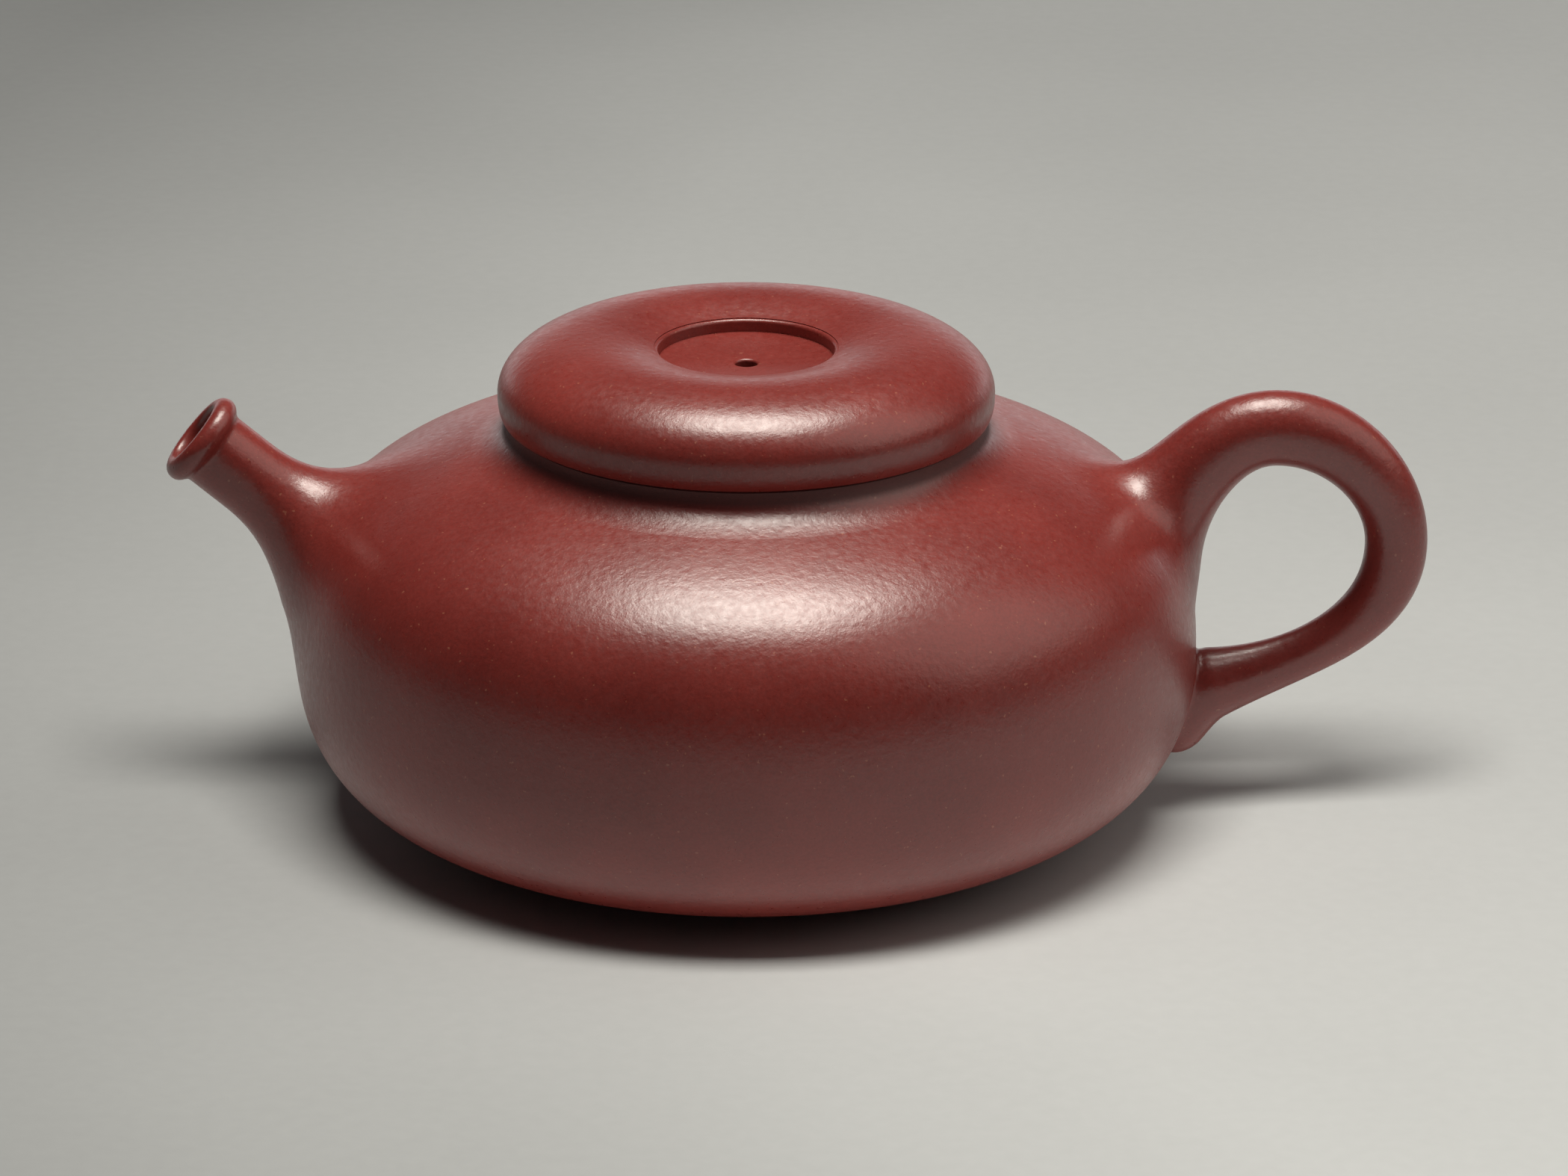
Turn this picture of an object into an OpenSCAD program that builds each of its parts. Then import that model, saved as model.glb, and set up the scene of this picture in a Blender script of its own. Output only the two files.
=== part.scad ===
// Round clay teapot with a low flattened body, a short flared spout, an ear handle
// and a cushion lid that has a sunk disc and a vent hole in place of a knob.
// Millimetres, +Z up. The origin is the centre of the foot, on the table.
// The spout points along -X and the handle along +X.

/* [Body] */
// greatest diameter of the body
body_d = 110; // [94:1:132]
// height of the widest level above the table
belly_z = 22.5; // [18:0.5:27]
// height of the shoulder circle, where the straight slope to the neck begins
shoulder_z = 47.5; // [40:0.5:58]
// width of the straight shoulder slope beside the neck
shoulder_flat = 6; // [4:0.5:9]
// slope of the shoulder at that circle, degrees below level
shoulder_slope = 16.5; // [8:1:24]
// outside diameter of the foot
foot_d = 66.4; // [54:0.2:76]
// rise of the lower body where it leaves the foot, degrees
foot_slope = 8; // [4:1:20]
// fullness of the lower curve beside the foot
foot_fullness = 0.5; // [0.35:0.01:0.6]
// fullness of the lower curve beside the belly
under_fullness = 0.71; // [0.4:0.01:0.75]
// fullness of the upper curve beside the belly
over_fullness = 0.62; // [0.4:0.01:0.75]
// fullness of the upper curve beside the shoulder
shoulder_fullness = 0.78; // [0.6:0.01:0.85]
// thickness of the body wall
wall_t = 3; // [2.4:0.1:3.6]
// thickness of the base plate
base_t = 3; // [2.4:0.1:3.6]
// height of the foot ring
foot_h = 1.6; // [1.2:0.1:2.2]
// width of the foot ring
foot_w = 6; // [4.5:0.5:8]
// width of the top plate outside the shoulder circle
top_plate_lap = 5; // [3.5:0.5:7]

/* [Neck] */
// outside diameter of the upright neck
neck_d = 58; // [50:0.5:70]
// thickness of the neck around the mouth
neck_t = 3; // [2.4:0.1:4]
// height of the rim above the shoulder circle
neck_rise = 4.8; // [4.2:0.1:6.5]
// radius of the hollow between neck and shoulder
neck_fillet = 2.6; // [1.6:0.1:3]

/* [Lid] */
// overhang of the lid beyond the neck at its seat
lid_overhang = 0.6; // [0:0.1:1.2]
// swell of the lid beyond its seat at its widest level
lid_swell = 0.5; // [0.3:0.1:2]
// height of the widest level of the lid above its seat
lid_belly_h = 2.6; // [2.4:0.1:3.4]
// height of the highest circle of the lid above its seat
lid_crest_h = 9.4; // [8.4:0.1:11]
// distance of that circle from the widest part of the lid
lid_crest_in = 11.4; // [9:0.2:13]
// diameter of the sunk disc in the top
recess_d = 21.3; // [16:0.1:25.6]
// height of the edge of the sunk disc above the lid seat
recess_edge_h = 8.1; // [7.2:0.1:9.8]
// depth of the sunk disc below its edge
recess_depth = 1.5; // [1:0.1:2]
// extra depth of the disc at its middle
recess_dish = 0.5; // [0:0.1:0.8]
// thickness of the sunk disc
disc_t = 2.6; // [2:0.1:3]
// ledge under which the sunk disc is held
disc_ledge = 1.5; // [1:0.1:2]
// diameter of the vent hole
vent_d = 2.7; // [2.2:0.1:3.4]
// thickness of the lid crown
crown_t = 2.8; // [2.2:0.1:3.2]
// thickness of the lid plate
lid_plate_t = 2.2; // [1.8:0.1:2.6]
// depth of the flange that goes down into the neck
flange_h = 6; // [4.5:0.1:8]
// thickness of the flange
flange_t = 2.6; // [2:0.1:3.2]
// running gap between flange and mouth, on the radius
flange_gap = 0.35; // [0.25:0.05:0.6]
// gap left between lid seat and rim
seat_gap = 0.2; // [0.1:0.05:0.3]

/* [Spout] */
// reach of the mouth of the spout beyond the belly
spout_reach = 12.15; // [10:0.05:15]
// height of the middle of the spout mouth above the shoulder circle
spout_rise = 2.3; // [-1:0.1:4]
// dip of the spout axis towards the body, degrees
spout_dip = 40; // [36:1:46]
// radius of the rolled lip
lip_roll = 1.45; // [1.2:0.05:1.7]
// height of the lip above the outside of the spout
lip_stand = 1.15; // [0.8:0.05:1.4]
// diameter of the spout behind the lip
spout_d = 9.5; // [8:0.1:11.4]
// length of the slender part of the spout
spout_slender = 9; // [7:0.5:11]
// radius of the outward sweep towards the body
spout_sweep = 20; // [15:1:26]
// steepest angle of that sweep
spout_flare = 25; // [18:1:29]
// wall of the spout around the pouring bore at its mouth
spout_wall = 1.1; // [0.9:0.05:1.5]
// growth of the bore from mouth to root, on the radius
bore_growth = 2.6; // [1.4:0.1:3]

/* [Strainer] */
// reach of the pierced dome beyond the hole in the wall, on the radius
strainer_margin = 3.75; // [3:0.05:4.5]
// thickness of the dome
strainer_t = 1.6; // [1.4:0.1:2]
// diameter of each strainer hole
strainer_hole_d = 1.8; // [1.5:0.1:2]

/* [Handle] */
// height of the middle of the upper root, below the shoulder circle
grip_root_drop = 8.6; // [7:0.1:12]
// heading of the upper root, degrees above level
grip_root_angle = 56; // [46:1:62]
// top of the loop centre line above the shoulder circle
grip_top_rise = 2.4; // [-1:0.1:5]
// distance of the top of the loop beyond the belly
grip_top_reach = 9.3; // [8:0.1:12]
// distance of the outermost centre line beyond the belly
grip_reach = 24.1; // [20:0.1:29]
// level of the outermost point, below the shoulder circle
grip_side_drop = 11.9; // [9:0.1:15]
// level of the lower arm where it nears the body, below the belly
grip_end_drop = 5.4; // [3:0.1:7]
// distance of that place beyond the belly
grip_end_reach = 2.5; // [1.5:0.1:4]
// level of the tip of the tail, below the belly
tail_drop = 12.9; // [11:0.1:14]
// half thickness of the handle at its upper root
grip_root_w = 7.5; // [6:0.1:9]
// half thickness at the top of the loop
grip_top_w = 4.55; // [3.8:0.05:5.4]
// half thickness at the side of the loop
grip_side_w = 3.95; // [3.3:0.05:4.7]
// half thickness at the thinnest place of the lower arm
grip_low_w = 2.9; // [2.4:0.05:3.5]
// half thickness where the lower arm meets the body
grip_end_w = 4.4; // [3.6:0.05:5]
// half thickness of the tail
tail_w = 4.4; // [3.8:0.1:5.2]
// depth of the handle section compared with its thickness
grip_ovality = 0.96; // [0.8:0.01:1.1]

/* [Hidden] */
$fn = 96;
body_r = body_d / 2;
foot_r = foot_d / 2;
neck_r = neck_d / 2;
mouth_r = neck_r - neck_t;
shoulder_r = neck_r + shoulder_flat;
rim_z = shoulder_z + neck_rise;
base_r = foot_r - 1.2 * wall_t;
foot_chamfer = 0.6;
curve_steps = 16;
grip_steps = 12;
grip_sides = 24;

lid_z = rim_z + seat_gap;
seat_r = neck_r + lid_overhang;
lid_r = seat_r + lid_swell;
crest_r = lid_r - lid_crest_in;
recess_r = recess_d / 2;
disc_r = recess_r + disc_ledge;
disc_top_z = lid_z + recess_edge_h - recess_depth;
flange_r = mouth_r - flange_gap;
flange_in_r = flange_r - flange_t;
lid_plate_r = seat_r - 2.2;

tip_x = -(body_r + spout_reach);
tip_z = shoulder_z + spout_rise;

// a cubic curve through a and d, pulled towards b and c
function cubic(a, b, c, d, t) =
  pow(1 - t, 3) * a + 3 * pow(1 - t, 2) * t * b + 3 * (1 - t) * t * t * c + pow(t, 3) * d;
function cubic_way(a, b, c, d, t) =
  3 * pow(1 - t, 2) * (b - a) + 6 * (1 - t) * t * (c - b) + 3 * t * t * (d - c);
function heading(a) = [cos(a), sin(a)];
function unit(v) = v / norm(v);
// the side of a curve that lies to the left of its way
function left_of(v) = unit([-v[1], v[0]]);

// outline of the body from the foot (0) over the belly (1) to the shoulder circle (2)
low = [
  [foot_r, foot_h],
  [foot_r, foot_h] + foot_fullness * (body_r - foot_r) * heading(foot_slope),
  [body_r, belly_z - under_fullness * (belly_z - foot_h)],
  [body_r, belly_z]
];
high = [
  [body_r, belly_z],
  [body_r, belly_z + over_fullness * (shoulder_z - belly_z)],
  [shoulder_r, shoulder_z] + shoulder_fullness * (body_r - shoulder_r) * heading(-shoulder_slope),
  [shoulder_r, shoulder_z]
];
function outline(u) = u < 1 ? cubic(low[0], low[1], low[2], low[3], u)
                            : cubic(high[0], high[1], high[2], high[3], u - 1);
function outline_way(u) = u < 1 ? cubic_way(low[0], low[1], low[2], low[3], u)
                                : cubic_way(high[0], high[1], high[2], high[3], u - 1);
function inline(u) = outline(u) + wall_t * left_of(outline_way(u));
// place on the outline at height z, or at radius r above the belly, by halving
function place_at_z(z, a = 0, b = 2, n = 24) =
  n == 0 ? (a + b) / 2
         : outline((a + b) / 2)[1] < z ? place_at_z(z, (a + b) / 2, b, n - 1)
                                       : place_at_z(z, a, (a + b) / 2, n - 1);
function place_at_r(r, a = 1, b = 2, n = 24) =
  n == 0 ? (a + b) / 2
         : outline((a + b) / 2)[0] > r ? place_at_r(r, (a + b) / 2, b, n - 1)
                                       : place_at_r(r, a, (a + b) / 2, n - 1);
function radius_at(z) = outline(place_at_z(z))[0];
top_joint = place_at_r(shoulder_r + top_plate_lap);
function wall_places(from, to) =
  [for (i = [0 : curve_steps]) from + (to - from) * i / curve_steps];
function slope_z(r) = shoulder_z + (shoulder_r - r) * tan(shoulder_slope);

// length of the spout axis from its mouth to the outside of the wall, by halving
function axis_run(a = 0, b = 45, n = 24) =
  let (t = (a + b) / 2)
  n == 0 ? t
         : -tip_x - t * cos(spout_dip) > radius_at(tip_z - t * sin(spout_dip))
             ? axis_run(t, b, n - 1) : axis_run(a, t, n - 1);
spout_run = axis_run();
spout_r = spout_d / 2;
bore_r = spout_r - spout_wall;
bore_root_r = bore_r + bore_growth;
strainer_r = bore_root_r + strainer_margin;
lip_r = spout_r + lip_stand;

// outline of the lid from its seat (0) over its belly (1) and crest (2) to the recess (3)
lid_curve = [
  [[seat_r, lid_z], [seat_r + 0.3, lid_z + 0.5], [lid_r, lid_z + lid_belly_h - 1.3],
   [lid_r, lid_z + lid_belly_h]],
  [[lid_r, lid_z + lid_belly_h], [lid_r, lid_z + lid_belly_h + 4.3],
   [crest_r + 5.6, lid_z + lid_crest_h], [crest_r, lid_z + lid_crest_h]],
  [[crest_r, lid_z + lid_crest_h], [crest_r - 4, lid_z + lid_crest_h],
   [recess_r + 1.8, lid_z + recess_edge_h + 0.35], [recess_r, lid_z + recess_edge_h]]
];
function lid_part(u) = min(2, floor(u));
function lid_line(u) = let (c = lid_curve[lid_part(u)])
  cubic(c[0], c[1], c[2], c[3], u - lid_part(u));
function lid_way(u) = let (c = lid_curve[lid_part(u)])
  cubic_way(c[0], c[1], c[2], c[3], u - lid_part(u));
function lid_inside(u) = lid_line(u) + crown_t * left_of(lid_way(u));

// centre line of the handle, one cubic a stretch, in the upright plane of the spout
grip_root_z = shoulder_z - grip_root_drop;
grip_root = [radius_at(grip_root_z) - 1.2, grip_root_z] - 5 * heading(grip_root_angle);
grip_top = [body_r + grip_top_reach, shoulder_z + grip_top_rise];
grip_side = [body_r + grip_reach, shoulder_z - grip_side_drop];
grip_end = [body_r + grip_end_reach, belly_z - grip_end_drop];
tail_z = belly_z - tail_drop;
tail_tip = [radius_at(tail_z) - 0.9, tail_z];
grip_curve = [
  [grip_root, grip_root + 10 * heading(grip_root_angle), grip_top - [7.3, 0], grip_top],
  [grip_top, grip_top + [8, 0], grip_side + [0, 7.6], grip_side],
  [grip_side, grip_side - [0, 11.2], grip_end + 9.5 * heading(16), grip_end],
  [grip_end, grip_end - 3.2 * heading(16), tail_tip + 3 * heading(42), tail_tip]
];
function grip_part(s) = min(3, floor(s));
function grip_line(s) = let (c = grip_curve[grip_part(s)])
  cubic(c[0], c[1], c[2], c[3], s - grip_part(s));
function grip_way(s) = let (c = grip_curve[grip_part(s)])
  cubic_way(c[0], c[1], c[2], c[3], s - grip_part(s));
function ease(a, b, t) = a + (b - a) * t * t * (3 - 2 * t);
// half thickness along the handle, with the tail closed round at its tip
function grip_w(s) =
  s < 1 ? grip_top_w + (grip_root_w - grip_top_w) * pow(1 - s, 2.2) :
  s < 2 ? ease(grip_top_w, grip_side_w, s - 1) :
  s < 2.6 ? ease(grip_side_w, grip_low_w, (s - 2) / 0.6) :
  s < 3 ? grip_low_w + (grip_end_w - grip_low_w) * pow((s - 2.6) / 0.4, 2) :
  ease(grip_end_w, tail_w, min(1, (s - 3) / 0.6)) * sqrt(max(0.004, 1 - pow(max(0, s - 3.6) / 0.4, 2)));
function grip_places() = concat(
  [for (k = [0 : 2]) for (i = [0 : grip_steps - 1]) k + i / grip_steps],
  [for (i = [0 : grip_steps]) 3 + sin(90 * i / grip_steps)]);
function grip_ring(s) = let (c = grip_line(s), n = left_of(grip_way(s)), w = grip_w(s))
  [for (j = [0 : grip_sides - 1]) let (a = 360 * j / grip_sides)
    [c[0] + n[0] * w * cos(a), w * grip_ovality * sin(a), c[1] + n[1] * w * cos(a)]];

// everything within the outside of the body, used to seat spout and handle on the wall
module body_space() {
  rotate_extrude()
    polygon(concat([[0, foot_h]], [for (u = wall_places(0, 1)) outline(u)],
                   [for (u = wall_places(1, top_joint)) if (u > 1) outline(u)],
                   [for (u = wall_places(top_joint, 2)) if (u > top_joint) outline(u)],
                   [[0, shoulder_z]]));
}

// everything within the inside of the wall
module tea_space() {
  rotate_extrude()
    polygon(concat([[0, foot_h + base_t]], [for (u = wall_places(0, 1)) inline(u)],
                   [for (u = wall_places(1, top_joint)) if (u > 1) inline(u)],
                   [[0, inline(top_joint)[1]]]));
}

// local +Z runs along the spout axis from its mouth down to the body
module on_spout_axis(run = 0) {
  translate([tip_x, 0, tip_z]) rotate([0, 90 + spout_dip, 0]) translate([0, 0, run]) children();
}

// the round hole behind the spout
module spout_hole() {
  on_spout_axis(spout_run - 3 * wall_t) cylinder(r = bore_root_r, h = 7 * wall_t);
}

module foot_ring() {
  color([0.36, 0.15, 0.12])
    rotate_extrude()
      polygon([[foot_r - foot_w, 0], [foot_r - foot_chamfer, 0], [foot_r, foot_chamfer],
               [foot_r, foot_h], [foot_r - foot_w, foot_h]]);
}

module base_plate() {
  color([0.40, 0.17, 0.13])
    translate([0, 0, foot_h]) cylinder(r = base_r, h = base_t);
}

module body_wall() {
  color([0.45, 0.18, 0.14])
    difference() {
      rotate_extrude()
        polygon(concat(
          [[base_r, foot_h]],
          [for (u = wall_places(0, 1)) outline(u)],
          [for (u = wall_places(1, top_joint)) if (u > 1) outline(u)],
          [for (u = wall_places(top_joint, 1)) inline(u)],
          [for (u = wall_places(1, 0)) if (u < 1) inline(u)],
          [[base_r, inline(0)[1]]]));
      spout_hole();
    }
}

module top_plate() {
  color([0.47, 0.19, 0.15])
    rotate_extrude()
      polygon(concat(
        [for (u = wall_places(top_joint, 2)) outline(u)],
        [[mouth_r, slope_z(mouth_r)], [mouth_r, slope_z(mouth_r) - wall_t]],
        [for (u = wall_places(2, top_joint)) inline(u)]));
}

module neck_ring() {
  foot = neck_r + neck_fillet;
  mid = [foot, slope_z(foot) + neck_fillet / cos(shoulder_slope)];
  last = 254 - shoulder_slope;
  edge_r = mid[0] + neck_fillet * cos(last);
  color([0.44, 0.18, 0.14])
    rotate_extrude()
      polygon(concat(
        [[mouth_r, slope_z(mouth_r)], [edge_r, slope_z(edge_r)]],
        [for (i = [0 : 8]) mid + neck_fillet * heading(last + (180 - last) * i / 8)],
        [[neck_r, rim_z - 0.5], [neck_r - 0.5, rim_z], [mouth_r + 0.5, rim_z],
         [mouth_r, rim_z - 0.5]]));
}

module spout() {
  sweep_z = spout_slender + spout_sweep * sin(spout_flare);
  sweep_r = spout_r + 0.25 + spout_sweep * (1 - cos(spout_flare));
  end_z = spout_run + 9;
  color([0.46, 0.18, 0.14])
    difference() {
      on_spout_axis() {
        rotate_extrude()
          polygon(concat(
            [[0, lip_roll], [spout_r - 0.2, lip_roll], [spout_r, 2 * lip_roll]],
            [for (i = [0 : 8]) let (a = spout_flare * i / 8)
              [spout_r + 0.25 + spout_sweep * (1 - cos(a)), spout_slender + spout_sweep * sin(a)]],
            [[sweep_r + (end_z - sweep_z) * tan(spout_flare), end_z], [0, end_z]]));
        rotate_extrude() translate([lip_r - lip_roll, lip_roll]) circle(r = lip_roll);
      }
      on_spout_axis(-1) cylinder(r = bore_r, h = spout_slender + 1);
      on_spout_axis(spout_slender - 0.01)
        cylinder(r1 = bore_r, r2 = bore_root_r, h = spout_run - 3 - spout_slender);
      on_spout_axis(spout_run - 3.02) cylinder(r = bore_root_r, h = 14);
      body_space();
    }
}

module strainer_hole() {
  translate([0, 0, strainer_r - strainer_t - 1])
    cylinder(d = strainer_hole_d, h = strainer_t + 2);
}

module strainer() {
  color([0.42, 0.18, 0.14])
    intersection() {
      on_spout_axis(spout_run + wall_t)
        difference() {
          sphere(r = strainer_r);
          sphere(r = strainer_r - strainer_t);
          strainer_hole();
          for (ring = [1 : 3]) for (k = [0 : 6 * ring - 1])
            rotate([0, 0, k * 60 / ring + 30]) rotate([0, ring * 19, 0]) strainer_hole();
        }
      tea_space();
    }
}

module handle() {
  places = grip_places();
  last = len(places) - 1;
  points = [for (s = places) each grip_ring(s)];
  faces = concat(
    [[for (j = [0 : grip_sides - 1]) j]],
    [for (i = [0 : last - 1]) for (j = [0 : grip_sides - 1])
      let (k = (j + 1) % grip_sides, a = i * grip_sides, b = a + grip_sides)
      each [[a + j, b + j, b + k], [a + j, b + k, a + k]]],
    [[for (j = [grip_sides - 1 : -1 : 0]) last * grip_sides + j]]);
  color([0.46, 0.18, 0.14])
    difference() {
      polyhedron(points = points, faces = faces);
      body_space();
    }
}

module lid_crown() {
  color([0.48, 0.20, 0.15])
    rotate_extrude()
      polygon(concat(
        [for (u = wall_places(0, 1)) lid_line(u)],
        [for (u = wall_places(1, 2)) if (u > 1) lid_line(u)],
        [for (u = wall_places(2, 3)) if (u > 2) lid_line(u)],
        [[recess_r, disc_top_z], [disc_r, disc_top_z], [disc_r, disc_top_z - disc_t],
         [disc_r + 2, disc_top_z - disc_t]],
        [for (u = wall_places(2, 1)) lid_inside(u)],
        [[lid_plate_r, lid_z + lid_plate_t], [lid_plate_r, lid_z]]));
}

module lid_plate() {
  color([0.43, 0.18, 0.14])
    rotate_extrude()
      translate([flange_in_r, lid_z]) square([lid_plate_r - flange_in_r, lid_plate_t]);
}

module lid_flange() {
  color([0.42, 0.17, 0.13])
    rotate_extrude()
      polygon([[flange_in_r, lid_z - flange_h], [flange_r - 0.6, lid_z - flange_h],
               [flange_r, lid_z - flange_h + 0.6], [flange_r, lid_z], [flange_in_r, lid_z]]);
}

module lid_disc() {
  color([0.46, 0.19, 0.15])
    difference() {
      rotate_extrude()
        polygon(concat(
          [[0, disc_top_z - disc_t], [disc_r, disc_top_z - disc_t], [disc_r, disc_top_z],
           [recess_r, disc_top_z]],
          [for (i = [5 : -1 : 0]) [recess_r * 0.85 * i / 5,
                                   disc_top_z - recess_dish * (1 - i * i / 25)]]));
      translate([0, 0, disc_top_z - disc_t - 1]) cylinder(d = vent_d, h = disc_t + 2);
    }
}

foot_ring();
base_plate();
body_wall();
top_plate();
neck_ring();
spout();
strainer();
handle();
lid_crown();
lid_plate();
lid_flange();
lid_disc();
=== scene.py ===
import math

import bmesh
import bpy
import numpy as np
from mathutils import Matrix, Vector


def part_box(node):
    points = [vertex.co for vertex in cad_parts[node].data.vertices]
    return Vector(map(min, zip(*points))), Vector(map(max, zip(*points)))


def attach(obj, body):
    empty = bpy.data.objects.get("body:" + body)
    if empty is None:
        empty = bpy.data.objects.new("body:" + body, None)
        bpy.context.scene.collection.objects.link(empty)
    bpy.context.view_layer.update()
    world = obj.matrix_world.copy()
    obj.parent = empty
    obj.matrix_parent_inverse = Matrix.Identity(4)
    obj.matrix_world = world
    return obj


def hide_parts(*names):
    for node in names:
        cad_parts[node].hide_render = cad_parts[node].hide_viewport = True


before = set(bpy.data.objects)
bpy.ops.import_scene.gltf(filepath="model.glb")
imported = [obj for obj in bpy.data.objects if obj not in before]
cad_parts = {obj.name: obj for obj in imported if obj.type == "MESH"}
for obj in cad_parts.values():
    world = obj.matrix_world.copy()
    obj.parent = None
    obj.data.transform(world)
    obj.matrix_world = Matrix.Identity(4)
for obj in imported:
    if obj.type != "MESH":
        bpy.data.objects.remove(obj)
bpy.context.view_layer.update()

# The teapot's looks. Lengths are millimetres until a mesh is made, in the same frame as the CAD:
# +Z up, the foot's centre on the table at the origin, spout towards -X, handle towards +X.
MM = 0.001


def low(node):
    """Lowest corner of a CAD node, in millimetres."""
    return np.array(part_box(node)[0]) / MM


def high(node):
    """Highest corner of a CAD node, in millimetres."""
    return np.array(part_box(node)[1]) / MM


# ---- sizes ---------------------------------------------------------------------------------------

# body, from the frame
BODY_R = high("body_wall")[0]
FOOT_R, _, FOOT_H = high("foot_ring")
BASE_R = high("base_plate")[0]
TOP_PLATE_R = high("top_plate")[0]
RIM_Z = high("neck_ring")[2]
# body, shape values that its box doesn't show
BELLY_Z = 22.5              # height of the widest circle
SHOULDER_R = 35             # circle where the straight slope of the shoulder starts
SHOULDER_Z = 47.5
SHOULDER_SLOPE = 16.5       # degrees
FOOT_SLOPE = 8              # degrees at which the belly leaves the foot
FOOT_FULLNESS = 0.5         # how far the belly's two curves are pulled out at each end
UNDER_FULLNESS = 0.71
OVER_FULLNESS = 0.62
SHOULDER_FULLNESS = 0.78
WALL = 3
FOOT_W = 6
FOOT_EDGE_R = 0.6
NECK_R = 29
MOUTH_R = 26
NECK_FILLET_R = 5.0         # how far the fillet below the neck runs out
NECK_FILLET_H = 2.8         # and how far it climbs
NECK_EDGE_R = 0.45          # rounding of the rim outside
MOUTH_EDGE_R = 0.6          # and inside
NECK_BED = 0.4              # how deep the neck is let into the slope
NECK_PAINTED_SHADE_AND_MATT = (0.9, 1.6)      # heights on the neck over which its clay turns matt and takes painted shade

# lid, from the frame
LID_Z = low("lid_crown")[2]
LID_R = high("lid_crown")[0]
LID_TOP = high("lid_crown")[2]
PLATE_R = high("lid_plate")[0]
PLATE_TOP = high("lid_plate")[2]
FLANGE_R = high("lid_flange")[0]
FLANGE_LOW = low("lid_flange")[2]
DISC_R = high("lid_disc")[0]
DISC_TOP = high("lid_disc")[2]
DISC_LOW = low("lid_disc")[2]
# lid, shape values
SEAT_R = 29.6               # circle on which the lid stands
LID_BELLY_H = 2.6           # height of its widest circle above the seat
CREST_R = 18.7              # its highest circle
RECESS_R = DISC_R - 1.5     # edge round the dished disc
RECESS_EDGE_H = 8.1
RECESS_EDGE_R = 0.45
RECESS_DISH = 0.5
CROWN_T = 2.8
PLATE_EDGE_R = 0.4
FLANGE_T = 2.6
FLANGE_EDGE_R = 0.7
VENT_R = 1.35
VENT_EDGE_R = 0.35
HAIR = 0.02                 # gap that keeps the faces of two pieces out of each other

# spout
TIP_X = -BODY_R - 12.15     # middle of its mouth
TIP_Z = SHOULDER_Z + 2.3
SPOUT_DIP = 40              # degrees at which its axis falls towards the body
SPOUT_END = 6               # how far its tube runs on past the outside of the wall
LIP_ROLL = 1.45             # radius of the rolled lip's section
LIP_R = 5.9                 # outside radius of the lip
LIP_BLEND = 0.9
SPOUT_R = 4.75              # outside radius behind the lip
SPOUT_SLENDER = 9           # length from the mouth that keeps this radius
SPOUT_SWEEP = 26            # radius of the curve in which it widens after that
SPOUT_FLARE = 17            # degrees at which it widens from there on
SPOUT_WIDEST = 2            # how far inside the wall it stops widening
SPOUT_BLEND = 13            # reach of the hollow between its root and the belly
BORE_R = 3.65
BORE_ROOT_R = 6.25

# handle: points of its centre line, angles in degrees, then half its thickness at these points
GRIP_ROOT_DROP = 8.6        # depth of the upper root below the shoulder circle
GRIP_ROOT_ANGLE = 56
GRIP_ROOT_INSET = 1.2       # how deep the line crosses the wall's surface at the upper root
GRIP_ROOT_RUN = 5           # and how far it goes on inside
GRIP_TOP = np.array([BODY_R + 9.3, SHOULDER_Z + 2.8])
GRIP_SIDE = np.array([BODY_R + 24.2, SHOULDER_Z - 11.9])
GRIP_END = np.array([BODY_R + 2.5, BELLY_Z - 5.1])
GRIP_END_ANGLE = 16
TAIL_Z = BELLY_Z - 12.9
TAIL_ANGLE = 42
TAIL_INSET = 0.9
GRIP_ROOT_W = 6.9
GRIP_TOP_W = 4.6
GRIP_SIDE_W = 3.8
GRIP_LOW_W = 3.0
GRIP_END_W = 4.4
TAIL_W = 4.4
GRIP_OVALITY = 0.96         # width across the plane of the handle, as a share of that in it
GRIP_BLEND_TOP = 10         # reach of the hollow between the belly and each root
GRIP_BLEND_END = 1.6
GRIP_BLEND_FROM = 4         # height above the lower root at which the reach starts to grow
GRIP_BLEND_OVER = 12        # and the height over which it grows

# how a blended root lies in the wall
SINK = 0.015                # depth at which its thin outer edge slips under the body's surface
ROOT_DEPTH = 1.2            # depth to which it is let into the wall
ROOT_MARGIN = 0.5           # how far past its blend the thin edge is cut off
CUT_EDGE = 0.8              # rounding of that cut and of the spout's bore

# mesh fineness
SIDES = 384
OUTLINE_STEP = 0.4
LID_STEP = 0.3
SKIN_STEP = 0.4
CHART_STEP = 0.1
BATCH = 8000                # points measured at a time

# part of the plane (radius or x, height) in which distances are charted
CHART_LOW = (24, 0)
CHART_HIGH = (BODY_R + 32, RIM_Z + 8)


# ---- curves --------------------------------------------------------------------------------------

def heading(degrees):
    """Unit vector at an angle."""
    a = math.radians(degrees)
    return np.array([math.cos(a), math.sin(a)])


def cubic(a, b, c, d, t):
    """Points of a cubic curve through a and d, pulled towards b and c."""
    a, b, c, d = (np.asarray(p, float) for p in (a, b, c, d))
    t = np.atleast_1d(t)[:, None]
    return (1 - t) ** 3 * a + 3 * (1 - t) ** 2 * t * b + 3 * (1 - t) * t * t * c + t ** 3 * d


def even(points, step=OUTLINE_STEP):
    """The same line with points an even step apart."""
    points = np.asarray(points, float)
    run = np.concatenate([[0], np.cumsum(np.linalg.norm(np.diff(points, axis=0), axis=1))])
    count = max(2, int(round(run[-1] / step)) + 1)
    at = np.linspace(0, run[-1], count)
    return np.stack([np.interp(at, run, points[:, i]) for i in range(points.shape[1])], 1)


def arc(centre, radius, start, end, step=10):
    """Points on an arc, angles in degrees."""
    count = max(3, int(abs(end - start) / step) + 1)
    angles = np.linspace(start, end, count)
    return np.array([np.asarray(centre) + radius * heading(a) for a in angles])


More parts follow.
